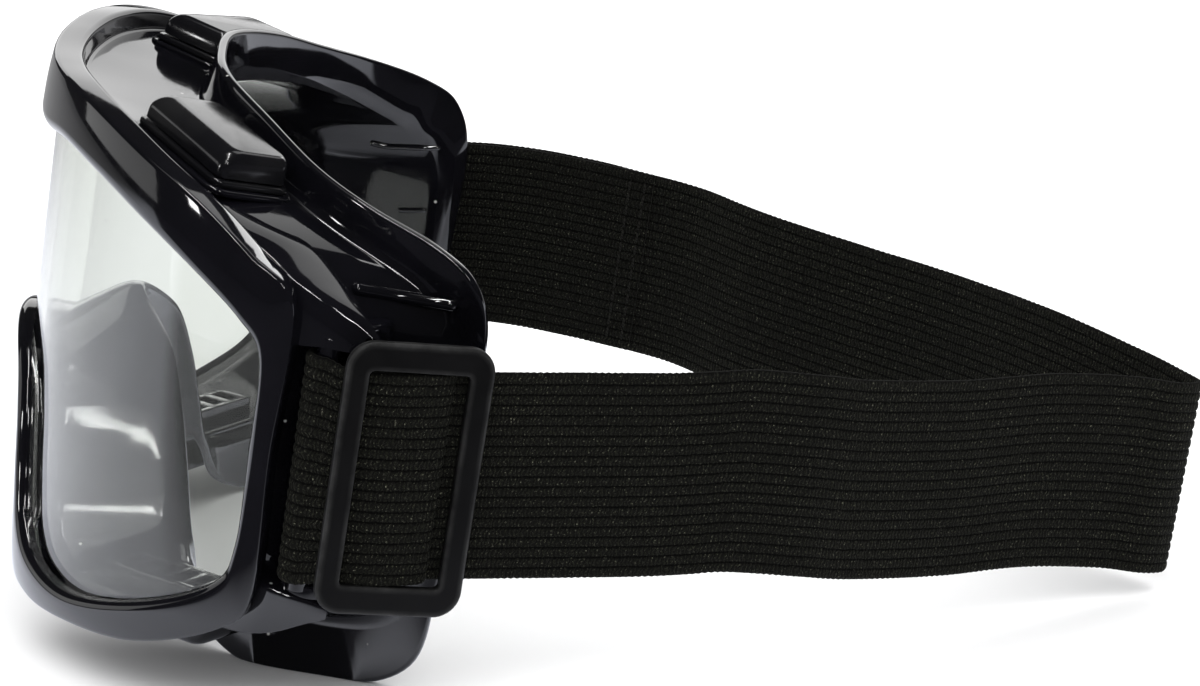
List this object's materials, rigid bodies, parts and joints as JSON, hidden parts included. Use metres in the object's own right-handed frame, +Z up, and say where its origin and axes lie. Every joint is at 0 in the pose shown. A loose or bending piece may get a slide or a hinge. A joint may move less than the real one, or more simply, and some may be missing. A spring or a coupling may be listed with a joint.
{
  "type": "safety goggles",
  "caption": "One-piece wraparound safety goggles with a soft glossy frame, curved clear lens, indirect vents and an adjustable ribbed elastic headband with a slider.",
  "frame": {"origin": "centre of the bounding box in X and Y, at the surface the goggles stand on", "axes": "+Z up as they stand, +Y from the lens to the rear of the headband, +X to the wearer's left, where the slider is"},
  "size_m": [0.154, 0.2074, 0.0966],
  "materials": {
    "soft_frame": "glossy soft PVC",
    "clear_lens": "clear polished polycarbonate",
    "vent_plastic": "glossy moulded",
    "elastic_webbing": "ribbed woven elastic",
    "slider_plastic": "satin moulded",
    "thread": "sewing thread"
  },
  "bodies": {
    "goggles": {"face_frame": "soft_frame", "lens": "clear_lens", "vent_base_top_left": "vent_plastic", "vent_cap_top_left": "vent_plastic", "vent_base_top_right": "vent_plastic", "vent_cap_top_right": "vent_plastic", "vent_base_bottom_left": "vent_plastic", "vent_cap_bottom_left": "vent_plastic", "vent_base_bottom_right": "vent_plastic", "vent_cap_bottom_right": "vent_plastic", "headband": "elastic_webbing", "headband_tail": "elastic_webbing", "anchor_stitching_rear": "thread", "anchor_stitching_front": "thread"},
    "slider": {"slider": "slider_plastic", "headband_end_loop": "elastic_webbing", "slider_stitching": "thread"}
  },
  "joints": [
    {"name": "slider_slide", "type": "slide", "parent": "goggles", "child": "slider", "axis": [-0.2423, 0.9655, -0.0953], "range_m": [0, 0.04], "deforming": ["headband_tail"]}
  ]
}
